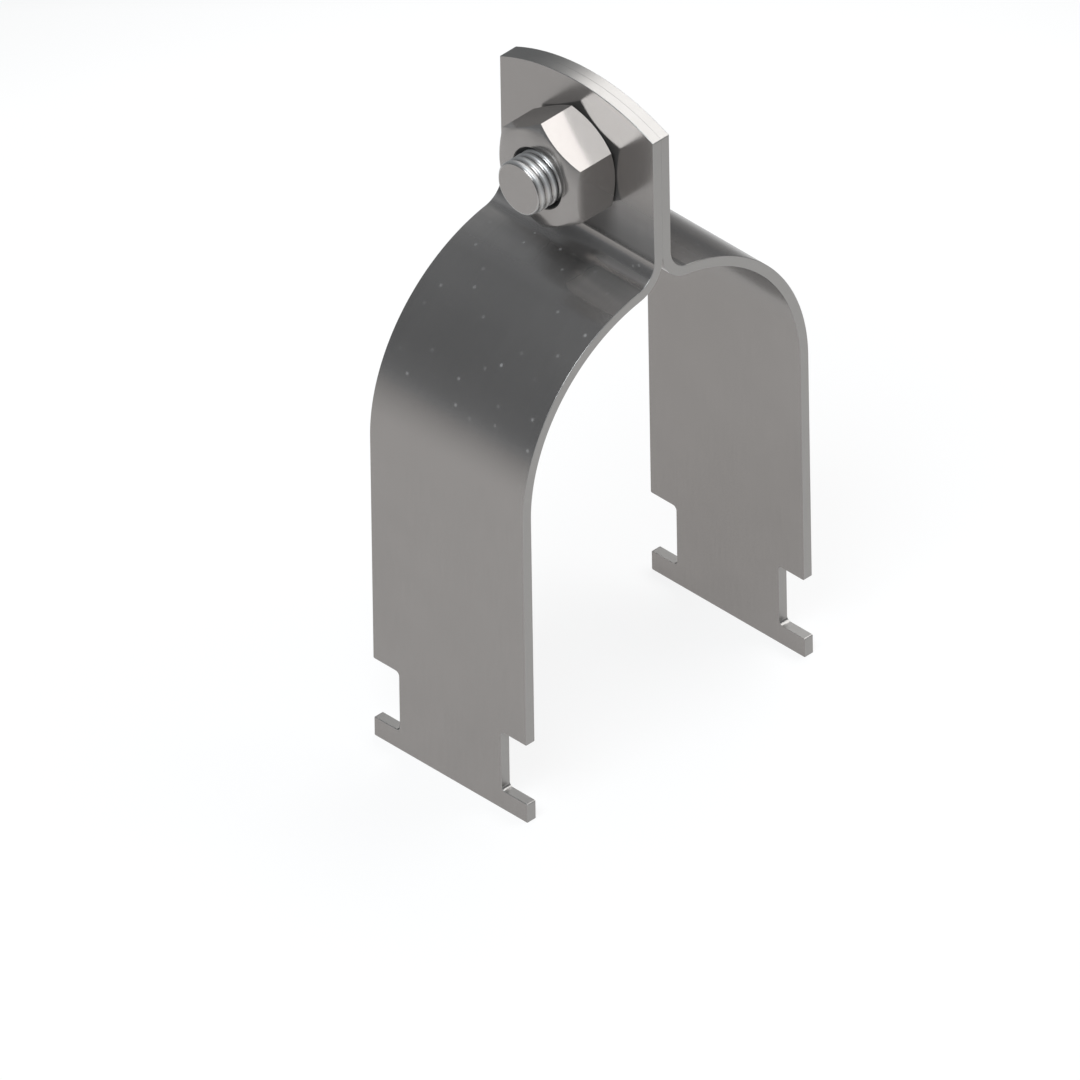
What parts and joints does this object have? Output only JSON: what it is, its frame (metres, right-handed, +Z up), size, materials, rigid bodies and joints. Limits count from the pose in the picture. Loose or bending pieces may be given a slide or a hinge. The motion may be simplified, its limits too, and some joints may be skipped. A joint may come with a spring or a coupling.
{
  "type": "pipe clamp",
  "caption": "Pipe clamp for slotted channel: folded steel straps hook under the channel's lips and are drawn round a pipe by a bolt through their upright ears.",
  "frame": {"origin": "on the axis of the pipe seat, midway along the width of the straps, in the plane where the ears meet", "axes": "+X along the pipe, +Y from the near strap to the far strap, along the channel, +Z up to the ears"},
  "size_m": [0.036, 0.067, 0.1268],
  "materials": {
    "strap_steel": "smooth satin",
    "bolt_steel": "bright",
    "nut_steel": "bright"
  },
  "bodies": {
    "root": {"strap_near": "strap_steel", "strap_far": "strap_steel", "hex_bolt": "bolt_steel", "hex_nut": "nut_steel"}
  },
  "joints": []
}
